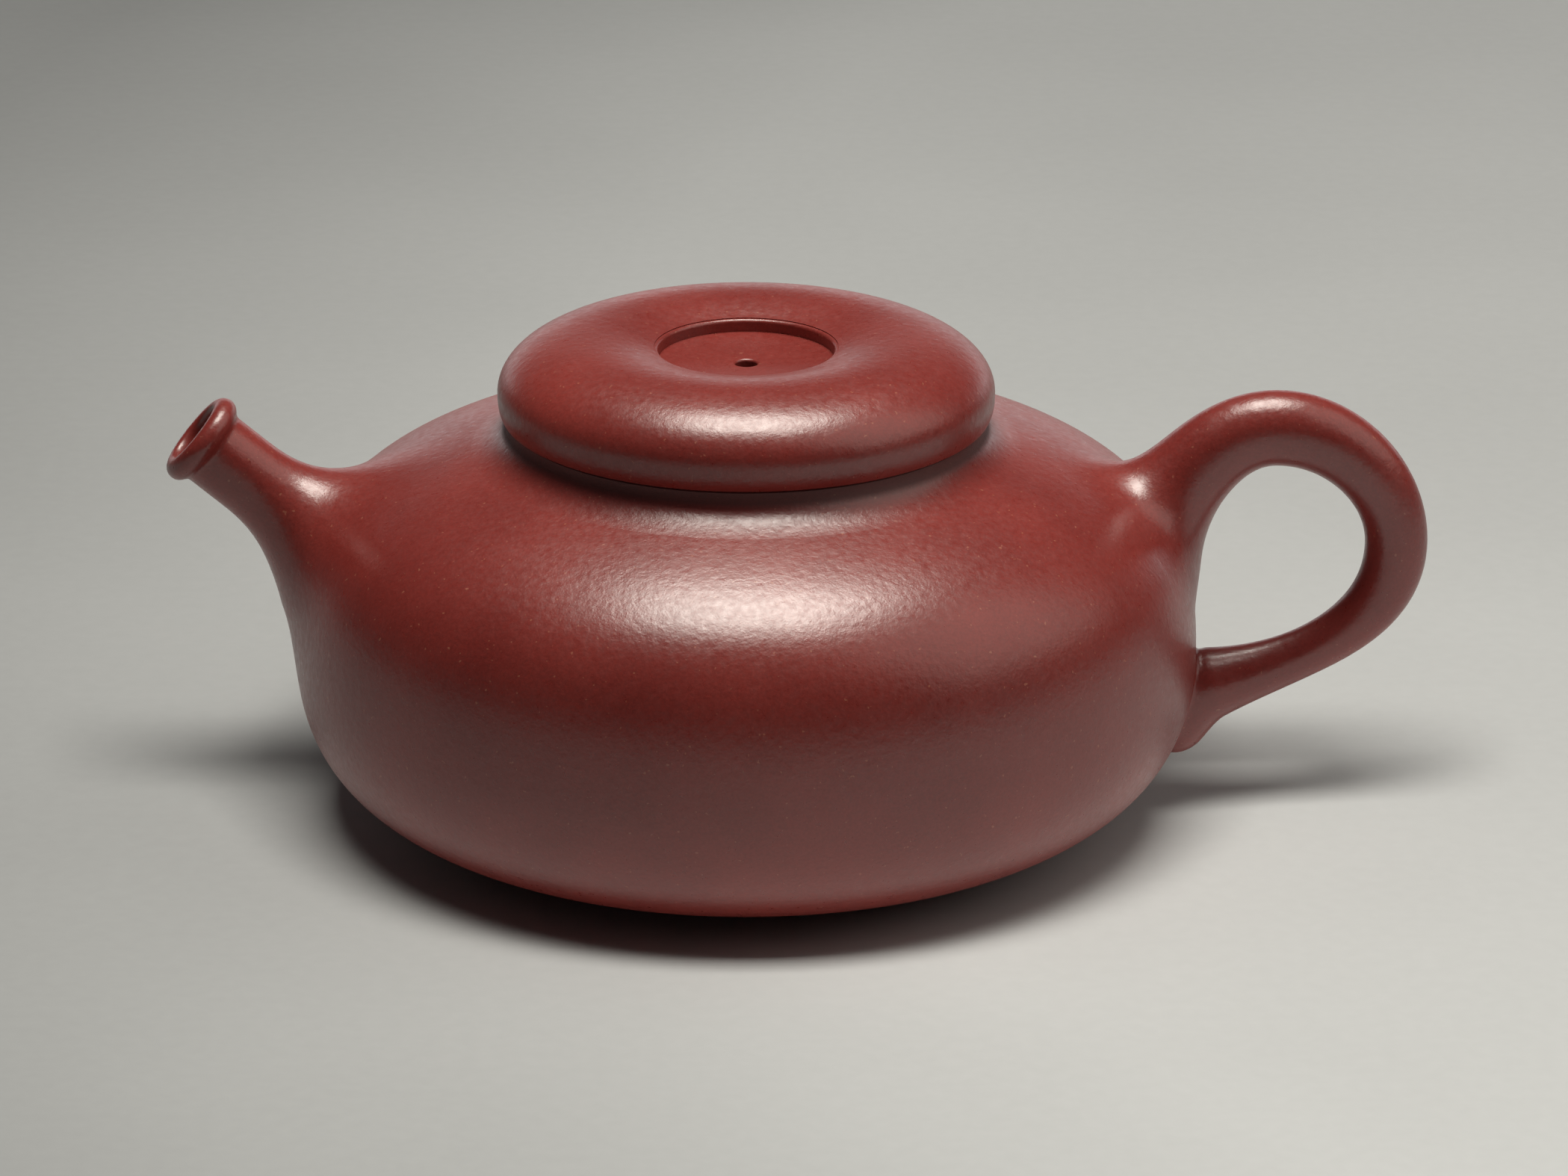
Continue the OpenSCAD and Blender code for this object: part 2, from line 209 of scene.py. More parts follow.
def beside(points, distance):
    """The line moved to its left by a distance."""
    way = np.gradient(points, axis=0)
    way /= np.linalg.norm(way, axis=1)[:, None]
    return points + distance * np.stack([-way[:, 1], way[:, 0]], 1)


def rounded(corners, radius):
    """A straight-sided closed outline with each corner rounded."""
    corners = np.asarray(corners, float)
    points = []
    for i, here in enumerate(corners):
        back = corners[i - 1] - here
        ahead = corners[(i + 1) % len(corners)] - here
        cut = min(radius, 0.45 * np.linalg.norm(back), 0.45 * np.linalg.norm(ahead))
        start = here + back / np.linalg.norm(back) * cut
        end = here + ahead / np.linalg.norm(ahead) * cut
        for t in np.linspace(0, 1, 6):
            points.append((1 - t) ** 2 * start + 2 * (1 - t) * t * here + t * t * end)
    return np.array(points)


def box_outline(r_in, r_out, z_low, z_high, edge_r):
    """Outline of a ring of box section with rounded edges."""
    return rounded([[r_in, z_low], [r_out, z_low], [r_out, z_high], [r_in, z_high]], edge_r)


def body_outline():
    """Outside of the body from the foot over the belly to the shoulder circle."""
    foot = np.array([FOOT_R, FOOT_H])
    belly = np.array([BODY_R, BELLY_Z])
    shoulder = np.array([SHOULDER_R, SHOULDER_Z])
    t = np.linspace(0, 1, 200)
    under = cubic(
        foot, foot + FOOT_FULLNESS * (BODY_R - FOOT_R) * heading(FOOT_SLOPE),
        belly - [0, UNDER_FULLNESS * (BELLY_Z - FOOT_H)], belly, t)
    over = cubic(
        belly, belly + [0, OVER_FULLNESS * (SHOULDER_Z - BELLY_Z)],
        shoulder + SHOULDER_FULLNESS * (BODY_R - SHOULDER_R) * heading(-SHOULDER_SLOPE),
        shoulder, t)
    return even(np.concatenate([under, over[1:]]))


def slope_z(r):
    """Height of the straight shoulder slope at radius r."""
    return SHOULDER_Z + (SHOULDER_R - r) * math.tan(math.radians(SHOULDER_SLOPE))


BODY_LINE = body_outline()
# point of the outline where the body wall ends and the top plate starts
WALL_END = int(np.argmax((BODY_LINE[:, 0] < TOP_PLATE_R) & (BODY_LINE[:, 1] > BELLY_Z)))


# ---- meshes --------------------------------------------------------------------------------------

def mesh_object(name, vertices, faces, sharp=35):
    """A smooth-shaded object from vertices in millimetres. An edge shows from sharp degrees on."""
    mesh = bpy.data.meshes.new(name)
    mesh.from_pydata((np.asarray(vertices) * MM).tolist(), [], faces)
    mesh.update()
    mesh.shade_smooth()
    mesh.set_sharp_from_angle(angle=math.radians(sharp))
    piece = bpy.data.objects.new(name, mesh)
    bpy.context.scene.collection.objects.link(piece)
    return piece


def turned(name, outline):
    """A solid of revolution from a closed outline (radius, height) that is clear of the axis."""
    outline = np.asarray(outline, float)
    doubled = np.linalg.norm(outline - np.roll(outline, 1, axis=0), axis=1) <= 1e-4
    outline = outline[~doubled]
    r, z = outline.T
    area = np.sum(r * np.roll(z, -1) - np.roll(r, -1) * z)
    if area < 0:
        outline = outline[::-1]
    n = len(outline)
    angles = np.arange(SIDES) * 2 * math.pi / SIDES
    r, z = outline.T
    x, y = np.outer(np.cos(angles), r), np.outer(np.sin(angles), r)
    vertices = np.stack([x, y, np.broadcast_to(z, (SIDES, n))], -1).reshape(-1, 3)
    k, i = np.meshgrid(np.arange(SIDES), np.arange(n), indexing="ij")
    here, up = k * n + i, k * n + (i + 1) % n
    side = ((k + 1) % SIDES) * n
    faces = np.stack([here, side + i, side + (i + 1) % n, up], -1).reshape(-1, 4)
    return mesh_object(name, vertices, faces.tolist())


def slope_of(field, points, reach=0.05):
    """Gradient of a field of distances at points."""
    parts = []
    for axis in range(3):
        shift = np.zeros(3)
        shift[axis] = reach
        parts.append((field(points + shift) - field(points - shift)) / (2 * reach))
    return np.stack(parts, 1)


def settle(field, points, times=3):
    """Points moved on to the surface where the field is zero."""
    for _ in range(times):
        way = slope_of(field, points)
        size = np.maximum(np.sum(way * way, axis=1), 0.2)
        step = (field(points) / size)[:, None] * way
        length = np.linalg.norm(step, axis=1)[:, None]
        points = points - step * np.minimum(1, SKIN_STEP / np.maximum(length, 1e-9))
    return points


def skin(name, field, lowest, highest):
    """Closed quad mesh of the surface where a field of distances is zero: one vertex in each grid
    cell that the surface crosses, evened out along the surface and settled on it."""
    axes = [np.arange(a, b + SKIN_STEP, SKIN_STEP) for a, b in zip(lowest, highest)]
    shape = tuple(len(a) for a in axes)
    grid = np.stack(np.meshgrid(*axes, indexing="ij"), -1)
    value = field(grid.reshape(-1, 3)).reshape(shape)
    inside = value < 0
    shell = inside.copy()
    shell[1:-1, 1:-1, 1:-1] = False
    if shell.any():
        raise ValueError(name + " reaches the edge of its grid")

    # a vertex at the mean of the places where the surface crosses a cell's edges
    total = np.zeros([s - 1 for s in shape])
    middle = np.zeros([s - 1 for s in shape] + [3])
    corners = [(i, j, k) for i in (0, 1) for j in (0, 1) for k in (0, 1)]

    def at(array, corner):
        return array[tuple(slice(o, o + s - 1) for o, s in zip(corner, shape))]

    for a in corners:
        for axis in range(3):
            if a[axis] == 0:
                b = tuple(o + (axis == i) for i, o in enumerate(a))
                crossed = at(inside, a) != at(inside, b)
                va, vb = at(value, a), at(value, b)
                share = np.where(crossed, va / np.where(crossed, va - vb, 1), 0)[..., None]
                middle += crossed[..., None] * (at(grid, a) * (1 - share) + at(grid, b) * share)
                total += crossed
    active = total > 0
    index = np.full(active.shape, -1)
    index[active] = np.arange(active.sum())
    points = middle[active] / total[active][:, None]

    # a face across each grid edge that the surface crosses, between the four cells round it
    faces = []
    for axis in range(3):
        one, two = [i for i in range(3) if i != axis]
        start = [slice(1, s - 1) for s in shape]
        start[axis] = slice(0, shape[axis] - 1)
        end = list(start)
        end[axis] = slice(1, shape[axis])
        first, second = inside[tuple(start)], inside[tuple(end)]
        where = np.argwhere(first != second)
        leaving = first[tuple(where.T)]
        where = where + [0 if i == axis else 1 for i in range(3)]
        ring = []
        for back_one, back_two in ((1, 1), (0, 1), (0, 0), (1, 0)):
            cell = where.copy()
            cell[:, one] -= back_one
            cell[:, two] -= back_two
            ring.append(index[tuple(cell.T)])
        ring = np.stack(ring, 1)
        turn = leaving if axis != 1 else ~leaving
        faces.append(np.where(turn[:, None], ring, ring[:, ::-1]))
    faces = np.concatenate(faces)

    # vertices evened out
    points = settle(field, points)
    sides = np.concatenate([faces[:, [i, (i + 1) % 4]] for i in range(4)])
    for _ in range(3):
        mean = np.zeros_like(points)
        count = np.zeros(len(points))
        np.add.at(mean, sides[:, 0], points[sides[:, 1]])
        np.add.at(count, sides[:, 0], 1)
        points = settle(field, 0.5 * points + 0.5 * mean / count[:, None], 2)
    return mesh_object(name, points, faces.tolist(), sharp=60)


def nearest(points, line):
    """For points in a plane: distance to an open line, share of the way along it, and the side of
    it that they are on, +1 for the right."""
    start, span = line[:-1], np.diff(line, axis=0)
    length2 = np.sum(span * span, axis=1)
    distance, along, side = (np.empty(len(points)) for _ in range(3))
    for k in range(0, len(points), BATCH):
        batch = slice(k, k + BATCH)
        p = points[batch, None, :]
        t = np.clip(np.sum((p - start) * span, -1) / length2, 0, 1)
        gap = p - start - t[..., None] * span
        best = np.argmin(np.sum(gap * gap, -1), axis=1)
        rows = np.arange(len(best))
        gap, t, way = gap[rows, best], t[rows, best], span[best]
        distance[batch] = np.linalg.norm(gap, axis=1)
        along[batch] = (best + t) / len(span)
        side[batch] = np.sign(way[:, 1] * gap[:, 0] - way[:, 0] * gap[:, 1])
    return distance, along, side


class Chart:
    """Values known over a part of a plane, looked up between the points of a fine grid. Outside of
    it the nearest value on its edge holds."""

    def __init__(self, make):
        self.n = [int((b - a) / CHART_STEP) + 2 for a, b in zip(CHART_LOW, CHART_HIGH)]
        x, z = (a + CHART_STEP * np.arange(n) for a, n in zip(CHART_LOW, self.n))
        points = np.stack(np.meshgrid(x, z, indexing="ij"), -1).reshape(-1, 2)
        self.layers = [v.reshape(self.n) for v in make(points)]

    def __call__(self, x, z):
        # the last place is a hair before the last point, so that every place has a next point
        u = np.clip((x - CHART_LOW[0]) / CHART_STEP, 0, self.n[0] - 1.001)
        v = np.clip((z - CHART_LOW[1]) / CHART_STEP, 0, self.n[1] - 1.001)
        i, j = u.astype(int), v.astype(int)
        s, t = u - i, v - j
        return [(1 - s) * (1 - t) * a[i, j] + s * (1 - t) * a[i + 1, j]
                + (1 - s) * t * a[i, j + 1] + s * t * a[i + 1, j + 1] for a in self.layers]


def soft_min(a, b, reach):
    """The smaller of two distances, with a smooth hollow where both are within reach."""
    share = np.maximum(reach - np.abs(a - b), 0) / reach
    return np.minimum(a, b) - share ** 3 * reach / 6


def soft_max(a, b, reach):
    """The larger of two distances, with a rounded edge where both are within reach."""
    return -soft_min(-a, -b, reach)


def ease(a, b, t):
    """From a to b as t goes from 0 to 1, with a smooth start and end."""
    t = np.clip(t, 0, 1)
    return a + (b - a) * t * t * (3 - 2 * t)


def body_distances(points):
    """Distance from the outside of the body, for (radius, height), below zero inside."""
    neck = np.array([[NECK_R, slope_z(NECK_R)]])
    line = np.concatenate([BODY_LINE[:-1:2], BODY_LINE[-1:], neck])
    distance, _, side = nearest(points, line)
    return [distance * side]


BODY_CHART = Chart(body_distances)


def off_body(p):
    """Distance of points in space from the outside of the body."""
    return BODY_CHART(np.hypot(p[:, 0], p[:, 1]), p[:, 2])[0]


# ---- spout ---------------------------------------------------------------------------------------

SPOUT_WAY = heading(-SPOUT_DIP)


def spout_run():
    """Length of the spout axis from its mouth to the outside of the wall."""
    t = np.linspace(5, 45, 4000)
    x, z = TIP_X + t * SPOUT_WAY[0], TIP_Z + t * SPOUT_WAY[1]
    return t[np.argmax(BODY_CHART(-x, z)[0] < 0)]


SPOUT_RUN = spout_run()


def along_spout(p):
    """Distance along the spout axis from its mouth, and distance from the axis."""
    x, z = p[:, 0] - TIP_X, p[:, 2] - TIP_Z
    run = x * SPOUT_WAY[0] + z * SPOUT_WAY[1]
    off = -x * SPOUT_WAY[1] + z * SPOUT_WAY[0]
    return run, np.hypot(off, p[:, 1])


def spout_radius(run):
    """Outside radius of the spout along its axis."""
    flare = math.radians(SPOUT_FLARE)
    sweep = SPOUT_SWEEP * math.sin(flare)
    run = np.minimum(run, SPOUT_RUN + SPOUT_WIDEST)
    bend = np.clip(run - SPOUT_SLENDER, 0, sweep)
    rise = SPOUT_SWEEP - np.sqrt(SPOUT_SWEEP ** 2 - bend ** 2)
    straight = np.maximum(run - SPOUT_SLENDER - sweep, 0)
    return SPOUT_R + rise + straight * math.tan(flare)


def spout_field(p):
    """Distance from the spout with its lip, its bore and its root in the body."""
    run, off = along_spout(p)
    share = np.clip((run - SPOUT_SLENDER) / (SPOUT_RUN - SPOUT_SLENDER), 0, 1)
    bore = off - BORE_R - (BORE_ROOT_R - BORE_R) * share ** 2
    wall = off_body(p)
    side, end = off - spout_radius(run), run - SPOUT_RUN - SPOUT_END
    tube = np.maximum(np.maximum(side, end), LIP_ROLL - run)
    tube = np.where((side > 0) & (end > 0), np.hypot(side, end), tube)
    lip = np.hypot(off - LIP_R + LIP_ROLL, run - LIP_ROLL) - LIP_ROLL
    outside = soft_min(tube, lip, LIP_BLEND)
    outside = soft_min(wall + SINK, outside, SPOUT_BLEND)
    solid = np.maximum(outside, -wall - ROOT_DEPTH)
    solid = soft_max(solid, tube - SPOUT_BLEND - ROOT_MARGIN, CUT_EDGE)
    return soft_max(solid, -bore, CUT_EDGE)


# ---- handle --------------------------------------------------------------------------------------

def grip_line():
    """Centre line of the handle from its upper root to the tip of its tail, and half its
    thickness along it."""
    root_z = SHOULDER_Z - GRIP_ROOT_DROP
    over = BODY_LINE[np.argmax(BODY_LINE[:, 0]):]
    under = BODY_LINE[:np.argmax(BODY_LINE[:, 0])]
    root = np.array([np.interp(root_z, over[:, 1], over[:, 0]) - GRIP_ROOT_INSET, root_z])
    root = root - GRIP_ROOT_RUN * heading(GRIP_ROOT_ANGLE)
    tip = np.array([np.interp(TAIL_Z, under[:, 1], under[:, 0]) - TAIL_INSET, TAIL_Z])
    up, back, out = heading(GRIP_ROOT_ANGLE), heading(GRIP_END_ANGLE), heading(TAIL_ANGLE)
    t = np.linspace(0, 1, 60)
    # four curves end to end, each pulled by so many millimetres along the line at both its ends
    parts = [
        cubic(root, root + 10 * up, GRIP_TOP - [7.3, 0], GRIP_TOP, t),
        cubic(GRIP_TOP, GRIP_TOP + [8, 0], GRIP_SIDE + [0, 7.6], GRIP_SIDE, t),
        cubic(GRIP_SIDE, GRIP_SIDE - [0, 11.2], GRIP_END + 9.5 * back, GRIP_END, t),
        cubic(GRIP_END, GRIP_END - 3.2 * back, tip + 3 * out, tip, t),
    ]
    # s counts the curves passed: the thickness goes by it, and the last curve ends in a round tip
    s = np.concatenate([k + t[bool(k):] for k in range(4)])
    line = np.concatenate([part[bool(k):] for k, part in enumerate(parts)])
    half = np.select(
        [s < 1, s < 2, s < 2.6, s < 3],
        [GRIP_TOP_W + (GRIP_ROOT_W - GRIP_TOP_W) * np.maximum(1 - s, 0) ** 2.2,
         ease(GRIP_TOP_W, GRIP_SIDE_W, s - 1),
         ease(GRIP_SIDE_W, GRIP_LOW_W, (s - 2) / 0.6),
         GRIP_LOW_W + (GRIP_END_W - GRIP_LOW_W) * ((s - 2.6) / 0.4) ** 2],
        ease(GRIP_END_W, TAIL_W, (s - 3) / 0.6))
    to_tip = np.maximum(s - 3.6, 0) / 0.4
    return line, half * np.sqrt(np.maximum(0.004, 1 - to_tip ** 2))


GRIP_LINE, GRIP_HALF = grip_line()


def grip_distances(points):
    """Distance from the centre line and half the thickness there, for (x, height)."""
    distance, along, _ = nearest(points, GRIP_LINE)
    count = len(GRIP_LINE)
    return [distance, np.interp(along * (count - 1), np.arange(count), GRIP_HALF)]


GRIP_CHART = Chart(grip_distances)


def off_handle(p):
    """Distance of points in space from the handle by itself."""
    distance, half = GRIP_CHART(p[:, 0], p[:, 2])
    return np.hypot(distance, p[:, 1] / GRIP_OVALITY) - half


def handle_field(p):
    """Distance from the handle with its roots in the body. The reach of the blend grows from the
    lower root to the upper one."""
    wall, grip = off_body(p), off_handle(p)
    up = (p[:, 2] - GRIP_END[1] - GRIP_BLEND_FROM) / GRIP_BLEND_OVER
    reach = ease(GRIP_BLEND_END, GRIP_BLEND_TOP, up)
    outside = soft_min(wall + SINK, grip, reach)
    solid = np.maximum(outside, -wall - ROOT_DEPTH)
    return soft_max(solid, grip - reach - ROOT_MARGIN, CUT_EDGE)


# ---- pieces --------------------------------------------------------------------------------------

def place(piece, node, body, material):
    """The piece stands for a CAD node and moves with its body."""
    piece.data.materials.append(material)
    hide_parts(node)
    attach(piece, body)
    return piece


def body_pieces(clay, neck_clay_painted_shade):
    """The turned pieces of the pot: wall, top plate, neck and foot."""
    inner = beside(BODY_LINE, WALL)
    base_edge = [[BASE_R, inner[0, 1]], [BASE_R, FOOT_H]]
    outline = np.concatenate([BODY_LINE[:WALL_END + 1], inner[WALL_END::-1], base_edge])
    wall = turned("body_wall_shell", outline)
    drill(wall)
    plate_edge = [[MOUTH_R, slope_z(MOUTH_R)], [MOUTH_R, slope_z(MOUTH_R) - WALL]]
    outline = np.concatenate([BODY_LINE[WALL_END:], plate_edge, inner[:WALL_END - 1:-1]])
    place(turned("top_plate_shell", outline), "top_plate", "pot", clay)
    place(wall, "body_wall", "pot", clay)

    start, end = slope_z(NECK_R), NECK_R + NECK_FILLET_R
    fillet = cubic(
        [end, slope_z(end) - SINK], [NECK_R + 0.6 * NECK_FILLET_R, start - 0.9],
        [NECK_R, start + 0.5], [NECK_R, start + NECK_FILLET_H], np.linspace(0, 1, 40))
    rim = np.concatenate([
        arc((NECK_R - NECK_EDGE_R, RIM_Z - NECK_EDGE_R), NECK_EDGE_R, 0, 90),
        arc((MOUTH_R + MOUTH_EDGE_R, RIM_Z - MOUTH_EDGE_R), MOUTH_EDGE_R, 90, 180)])
    under = [[MOUTH_R, slope_z(MOUTH_R) - NECK_BED], [fillet[0, 0], fillet[0, 1] - NECK_BED]]
    neck = turned("neck_ring_shell", np.concatenate([fillet, rim, under]))
    place(neck, "neck_ring", "pot", neck_clay_painted_shade)

    foot = box_outline(FOOT_R - FOOT_W, FOOT_R, 0, FOOT_H, FOOT_EDGE_R)
    place(turned("foot_ring_shell", foot), "foot_ring", "pot", clay)


def drill(wall):
    """The hole through the body wall behind the spout."""
    x, z = np.array([TIP_X, TIP_Z]) + SPOUT_RUN * SPOUT_WAY
    middle = Vector((x, 0, z)) * MM
    way = Vector((SPOUT_WAY[0], 0, SPOUT_WAY[1]))
    cutter = bmesh.new()
    bmesh.ops.create_cone(
        cutter, cap_ends=True, segments=64, radius1=BORE_ROOT_R * MM, radius2=BORE_ROOT_R * MM,
        depth=8 * WALL * MM)
    mesh = bpy.data.meshes.new("drill")
    cutter.to_mesh(mesh)
    cutter.free()
    tool = bpy.data.objects.new("drill", mesh)
    tool.location = middle
    tool.rotation_mode = "QUATERNION"
    tool.rotation_quaternion = way.to_track_quat("Z", "Y")
    bpy.context.scene.collection.objects.link(tool)
    cut = wall.modifiers.new("hole", "BOOLEAN")
    cut.operation = "DIFFERENCE"
    cut.object = tool
    cut.solver = "EXACT"
    bpy.context.view_layer.update()
    cut_wall = wall.evaluated_get(bpy.context.evaluated_depsgraph_get())
    done = bpy.data.meshes.new_from_object(cut_wall)
    wall.modifiers.clear()
    wall.data = done
    bpy.data.objects.remove(tool)


def lid_pieces(clay, raw):
    """The turned pieces of the lid: crown, dished disc, plate and flange."""
    seat = np.array([SEAT_R, LID_Z])
    belly = np.array([LID_R, LID_Z + LID_BELLY_H])
    crest = np.array([CREST_R, LID_TOP])
    edge = np.array([RECESS_R, LID_Z + RECESS_EDGE_H])
    t = np.linspace(0, 1, 120)
    # three curves end to end, each pulled by so many millimetres along the line at both its ends
    outside = even(np.concatenate([
        cubic(seat, seat + [0.3, 0.5], belly - [0, 1.3], belly, t),
        cubic(belly, belly + [0, 4.3], crest + [5.6, 0], crest, t)[1:],
        cubic(crest, crest - [4, 0], edge + [1.8, 0.35], edge + [0.5, 0.1], t)[1:],
    ]), LID_STEP)
    widest, top = (int(k) for k in np.argmax(outside, axis=0))
    inside = beside(outside, CROWN_T)[top:widest:-1]
    inside = inside[inside[:, 1] > PLATE_TOP + LID_STEP]    # clear of the plate's corner
    lip = arc(edge + [RECESS_EDGE_R, -RECESS_EDGE_R], RECESS_EDGE_R, 75, 180)
    step = [[RECESS_R, DISC_TOP + HAIR], [DISC_R, DISC_TOP], [DISC_R, DISC_LOW],
            [DISC_R + 2, DISC_LOW]]
    foot = [[PLATE_R, PLATE_TOP], [PLATE_R, LID_Z]]
    crown = np.concatenate([outside, lip, step, inside, foot])
    place(turned("lid_crown_shell", crown), "lid_crown", "lid", clay)

    r = np.linspace(RECESS_R, VENT_R + VENT_EDGE_R, 40)
    dish = np.stack([r, DISC_TOP - RECESS_DISH * (1 - (r / RECESS_R) ** 2)], 1)
    vent = arc(dish[-1] - [0, VENT_EDGE_R], VENT_EDGE_R, 90, 180)
    low_edge = [[VENT_R, DISC_LOW], [DISC_R, DISC_LOW], [DISC_R, DISC_TOP - HAIR]]
    disc = np.concatenate([dish, vent, low_edge])
    place(turned("lid_disc_shell", disc), "lid_disc", "lid", clay)

    inner = FLANGE_R - FLANGE_T
    plate = box_outline(inner, PLATE_R, LID_Z, PLATE_TOP, PLATE_EDGE_R)
    place(turned("lid_plate_shell", plate), "lid_plate", "lid", raw)
    flange = box_outline(inner, FLANGE_R, FLANGE_LOW, LID_Z, FLANGE_EDGE_R)
    place(turned("lid_flange_shell", flange), "lid_flange", "lid", raw)


def spout_piece(clay):
    """The spout, in a grid that holds it and the blend round its root."""
    reach = SPOUT_RUN * SPOUT_WAY
    lowest = (TIP_X - 7, -27, TIP_Z + reach[1] - 30)
    highest = (TIP_X + reach[0] + 30, 27, TIP_Z + 9)
    place(skin("spout_shell", spout_field, lowest, highest), "spout", "pot", clay)


def handle_piece(clay):
    """The handle, in a grid that holds it and the blend round its roots."""
    lowest = (26, -20, 2)
    highest = (GRIP_SIDE[0] + 7, 20, GRIP_TOP[1] + 8)
    place(skin("handle_shell", handle_field, lowest, highest), "handle", "pot", clay)


# ---- materials -----------------------------------------------------------------------------------

class Nodes:
    """Short ways to build a material's node tree."""

    def __init__(self, name):
        self.material = bpy.data.materials.new(name)
        self.material.use_nodes = True
        self.tree = self.material.node_tree
        self.shader = self.tree.nodes["Principled BSDF"]
        self.place = self.add("ShaderNodeTexCoord").outputs["Object"]

    def add(self, kind, **values):
        """A new node with properties set."""
        node = self.tree.nodes.new(kind)
        for key, value in values.items():
            setattr(node, key, value)
        return node

    def link(self, a, b):
        """Output a feeds input b."""
        self.tree.links.new(a, b)

    def noise(self, size, detail=2, rough=0.5):
        """Noise with features of a given size in millimetres."""
        node = self.add("ShaderNodeTexNoise")
        node.inputs["Scale"].default_value = 1 / (size * MM)
        node.inputs["Detail"].default_value = detail
        node.inputs["Roughness"].default_value = rough
        self.link(self.place, node.inputs["Vector"])
        return node.outputs["Fac"]

    def ramp(self, source, start, end):
        """From one colour or grey to another, each at its place along a value."""
        node = self.add("ShaderNodeValToRGB")
        for element, (position, colour) in zip(node.color_ramp.elements, (start, end)):
            if isinstance(colour, float):
                colour = (colour,) * 3
            element.position = position
            element.color = (*colour, 1)
        self.link(source, node.inputs["Fac"])
        return node.outputs["Color"]

    def between(self, source, start, end):
        """0 up to a start and 1 from an end on."""
        node = self.add("ShaderNodeMapRange")
        node.inputs["From Min"].default_value = start
        node.inputs["From Max"].default_value = end
        self.link(source, node.inputs["Value"])
        return node.outputs["Result"]

    def mix(self, share, a, b):
        """Colour a turned into colour b by a share."""
        node = self.add("ShaderNodeMix", data_type="RGBA")
        self.link(share, node.inputs[0])
        self.link(a, node.inputs[6])
        node.inputs[7].default_value = (*b, 1)
        return node.outputs[2]

    def times(self, a, b):
        """Two colours multiplied."""
        node = self.add("ShaderNodeMix", data_type="RGBA", blend_type="MULTIPLY")
        node.inputs[0].default_value = 1.0
        self.link(a, node.inputs[6])
        self.link(b, node.inputs[7])
        return node.outputs[2]

    def bump(self, height, depth, before=None):
        """Relief of a depth in millimetres."""
        node = self.add("ShaderNodeBump")
        node.inputs["Distance"].default_value = depth * MM
        self.link(height, node.inputs["Height"])
        if before is not None:
            self.link(before, node.inputs["Normal"])
        return node.outputs["Normal"]


def burnished_clay(name="burnished_clay", matt=None):
    """Fired purple-red clay, rubbed to a satin skin with a fine grain. Between two heights it may
    turn matt, where the rubbing tool doesn't reach, and darker, which is painted shade under the
    lid."""
    n = Nodes(name)
    tone = n.ramp(n.noise(16, 3), (0.32, (0.205, 0.024, 0.019)), (0.68, (0.258, 0.034, 0.027)))
    grain = n.ramp(n.noise(0.35, 2), (0.35, 0.90), (0.65, 1.08))
    colour = n.times(tone, grain)
    speck = n.ramp(n.noise(0.55, 1), (0.735, 0.0), (0.76, 0.4))
    colour = n.mix(speck, colour, (0.50, 0.20, 0.12))
    rough = n.ramp(n.noise(0.9, 3), (0.3, 0.27), (0.7, 0.38))
    if matt:
        split = n.add("ShaderNodeSeparateXYZ")
        n.link(n.place, split.inputs[0])
        painted_shade_and_matt = n.between(split.outputs["Z"], matt[0] * MM, matt[1] * MM)
        # painted shade under the lid's overhang: the clay's colour falls to 0.45 of itself over
        # these heights
        colour = n.times(colour, n.ramp(painted_shade_and_matt, (0.0, 1.0), (1.0, 0.45)))
        rough = n.mix(painted_shade_and_matt, rough, (0.62, 0.62, 0.62))
    n.link(colour, n.shader.inputs["Base Color"])
    n.link(rough, n.shader.inputs["Roughness"])
    n.shader.inputs["IOR"].default_value = 1.5
    n.shader.inputs["Specular IOR Level"].default_value = 0.85
    peel = n.bump(n.noise(1.0, 3, 0.55), 0.05)
    fine = n.bump(n.noise(0.3, 2), 0.012, peel)
    n.link(fine, n.shader.inputs["Normal"])
    return n.material


def raw_clay():
    """The same clay where it isn't rubbed: matt and a little rougher."""
    n = Nodes("raw_clay")
    tone = n.ramp(n.noise(9, 3), (0.3, (0.25, 0.060, 0.038)), (0.7, (0.30, 0.078, 0.048)))
    grain = n.ramp(n.noise(0.3, 2), (0.35, 0.86), (0.65, 1.10))
    colour = n.times(tone, grain)
    speck = n.ramp(n.noise(0.5, 1), (0.70, 0.0), (0.73, 0.6))
    colour = n.mix(speck, colour, (0.50, 0.24, 0.14))
    n.link(colour, n.shader.inputs["Base Color"])
    n.shader.inputs["Roughness"].default_value = 0.66
    n.link(n.bump(n.noise(0.5, 4, 0.6), 0.07), n.shader.inputs["Normal"])
    return n.material


# ---- studio --------------------------------------------------------------------------------------

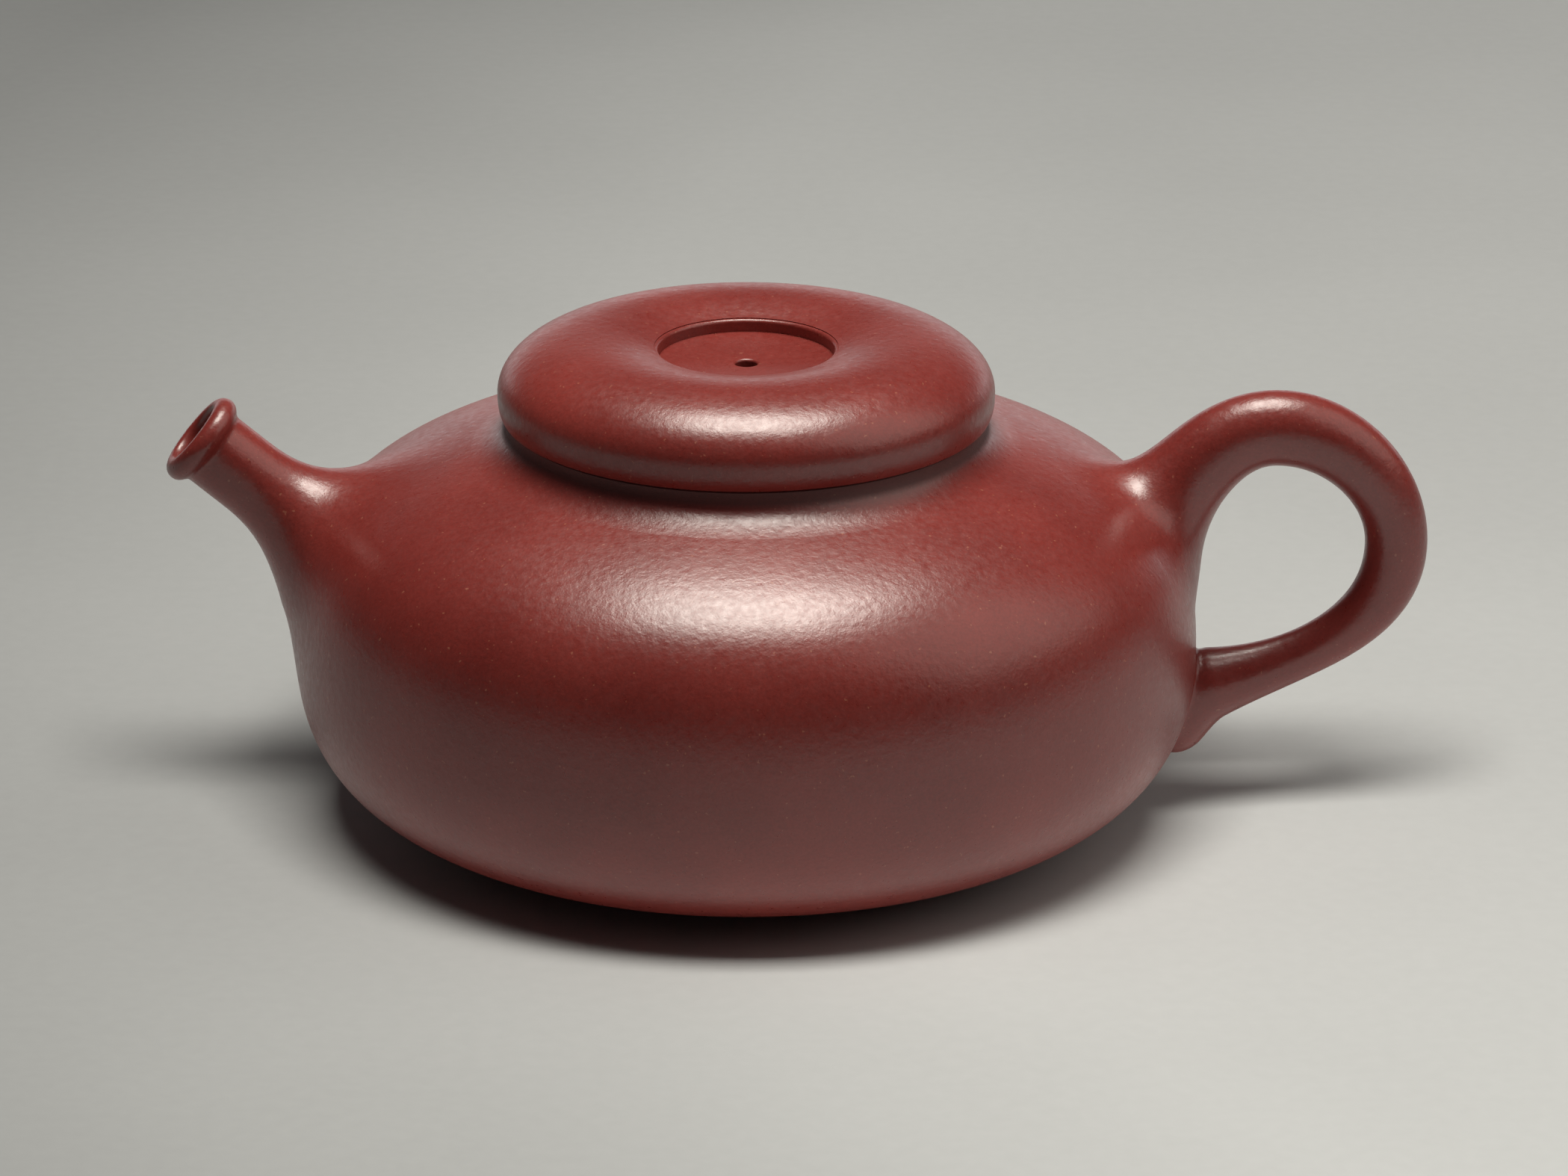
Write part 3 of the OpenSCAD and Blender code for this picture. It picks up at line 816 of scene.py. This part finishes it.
def studio():
    """A round pale floor that bends up into a low wall, with a pool of light painted into its
    colour that is lightest behind the pot on the right.
    """
    floor_r, wall_h, bend, sides = 2600, 1500, 700, 96
    profile = np.concatenate([
        [[0.001, 0]], [[floor_r - bend, 0]],
        arc((floor_r - bend, bend), bend, -90, 0, 6), [[floor_r, wall_h]]])
    angles = np.arange(sides) * 2 * math.pi / sides
    vertices = [(r * math.cos(a), r * math.sin(a), z) for a in angles for r, z in profile]
    n = len(profile)
    faces = []
    for k in range(sides):
        here, ahead = k * n, (k + 1) % sides * n
        faces += [(here + i, ahead + i, ahead + i + 1, here + i + 1) for i in range(n - 1)]
    floor = mesh_object("floor", vertices, faces)
    paper = Nodes("paper")
    fibre = paper.ramp(paper.noise(2.2, 3), (0.3, 0.97), (0.7, 1.0))
    cloud = paper.ramp(paper.noise(90, 2), (0.35, 0.95), (0.65, 1.0))
    # painted pool of light: the floor's colour is lighter near a point right of the pot and behind
    # it
    painted_light_distance = paper.add("ShaderNodeVectorMath", operation="DISTANCE")
    painted_light_distance.inputs[1].default_value = (0.40, 0.15, 0)
    paper.link(paper.place, painted_light_distance.inputs[0])
    near, far = (0.42, (0.49, 0.497, 0.505)), (0.55, (0.29, 0.295, 0.30))
    tone = paper.ramp(painted_light_distance.outputs["Value"], near, far)
    tone = paper.times(paper.times(tone, fibre), cloud)
    paper.link(tone, paper.shader.inputs["Base Color"])
    paper.shader.inputs["Roughness"].default_value = 0.9
    floor.data.materials.append(paper.material)


def lamp(name, stand, width, height, power, target=(0, 0, 30), colour=(1, 1, 1)):
    """A soft box that faces a target. Its stand, size and target are in millimetres."""
    light = bpy.data.lights.new(name, "AREA")
    light.shape = "RECTANGLE"
    light.size = width * MM
    light.size_y = height * MM
    light.energy = power
    light.color = colour
    box = bpy.data.objects.new(name, light)
    box.location = Vector(stand) * MM
    aim = Vector(target) * MM - box.location
    box.rotation_mode = "QUATERNION"
    box.rotation_quaternion = aim.to_track_quat("-Z", "Y")
    box.visible_camera = False
    bpy.context.scene.collection.objects.link(box)
    return box


def link_to_floor(box, name, state):
    """The lamp lights the floor alone (INCLUDE) or all but the floor (EXCLUDE)."""
    group = bpy.data.collections.new(name)
    group.objects.link(bpy.data.objects["floor"])
    group.collection_objects[0].light_linking.link_state = state
    box.light_linking.receiver_collection = group


def lights():
    """Four soft boxes and a dim world. The key light leaves the floor out, and the table light
    reaches only the floor."""
    warm = (1, 0.97, 0.88)
    key = lamp("key", (12, 70, 700), 345, 340, 5.1, colour=warm)
    lamp("side", (900, -150, 800), 1200, 1000, 3.4, colour=warm)
    lamp("back", (60, 900, 125), 1500, 240, 1.0)
    table = lamp("table", (20, -400, 900), 560, 300, 12.0, target=(0, -40, 0), colour=warm)
    link_to_floor(table, "lit_by_table", "INCLUDE")
    link_to_floor(key, "unlit_by_key", "EXCLUDE")
    world = bpy.data.worlds.new("studio")
    world.use_nodes = True
    sky = world.node_tree.nodes["Background"]
    sky.inputs["Color"].default_value = (0.85, 0.87, 0.9, 1)
    sky.inputs["Strength"].default_value = 0.04
    bpy.context.scene.world = world


def camera():
    """The photograph's view: 20 degrees above the pot, from its side, with a long lens."""
    elevation = math.radians(20.13)
    distance, aim_z = 900, 30
    data = bpy.data.cameras.new("camera")
    data.sensor_width = 36
    data.lens = 169.2
    data.shift_x = 0.0241
    data.shift_y = -0.0018
    eye = bpy.data.objects.new("camera", data)
    back, up = distance * math.cos(elevation), distance * math.sin(elevation)
    eye.location = Vector((0, -back, aim_z + up)) * MM
    eye.rotation_euler = (math.pi / 2 - elevation, 0, 0)
    bpy.context.scene.collection.objects.link(eye)
    bpy.context.scene.camera = eye


def main():
    camera()
    clay, raw = burnished_clay(), raw_clay()
    # heights at which the neck turns matt and takes painted shade under the lid
    matt = [slope_z(NECK_R) + height for height in NECK_PAINTED_SHADE_AND_MATT]
    body_pieces(clay, burnished_clay("neck_clay_painted_shade", matt))
    spout_piece(clay)
    handle_piece(clay)
    lid_pieces(clay, raw)
    for node in ("base_plate", "strainer"):
        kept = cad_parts[node]
        kept.data.materials.clear()
        kept.data.materials.append(raw)
    studio()
    lights()
    bpy.context.scene.view_settings.view_transform = "Standard"


main()
